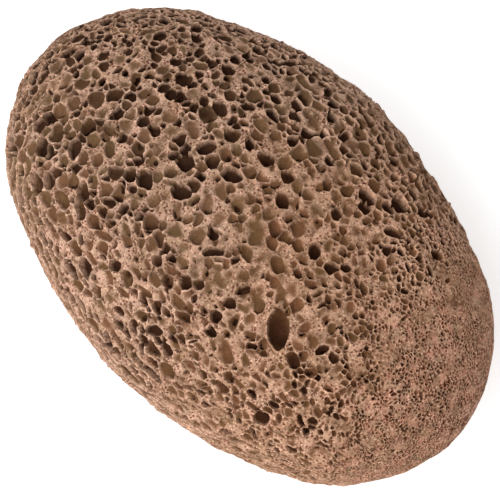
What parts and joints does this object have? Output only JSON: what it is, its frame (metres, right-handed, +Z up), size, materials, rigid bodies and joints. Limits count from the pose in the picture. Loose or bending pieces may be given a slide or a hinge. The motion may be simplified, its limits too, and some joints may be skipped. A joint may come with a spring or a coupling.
{
  "type": "pumice stone",
  "caption": "Oval pebble of frothy volcanic rock with a worn flat underneath, held in the hand to rub rough skin smooth.",
  "frame": {"origin": "middle of the outline, on the plane of the worn flat that the stone rests on", "axes": "+X along the stone from its coarse-bubbled end to its fine-grained end, +Y across it, +Z up out of the flat"},
  "size_m": [0.0965, 0.0636, 0.0402],
  "materials": {
    "pumice": "dull, rough and porous, brown with pinkish walls between the broken bubbles"
  },
  "bodies": {
    "root": {"pumice_stone": "pumice"}
  },
  "joints": []
}
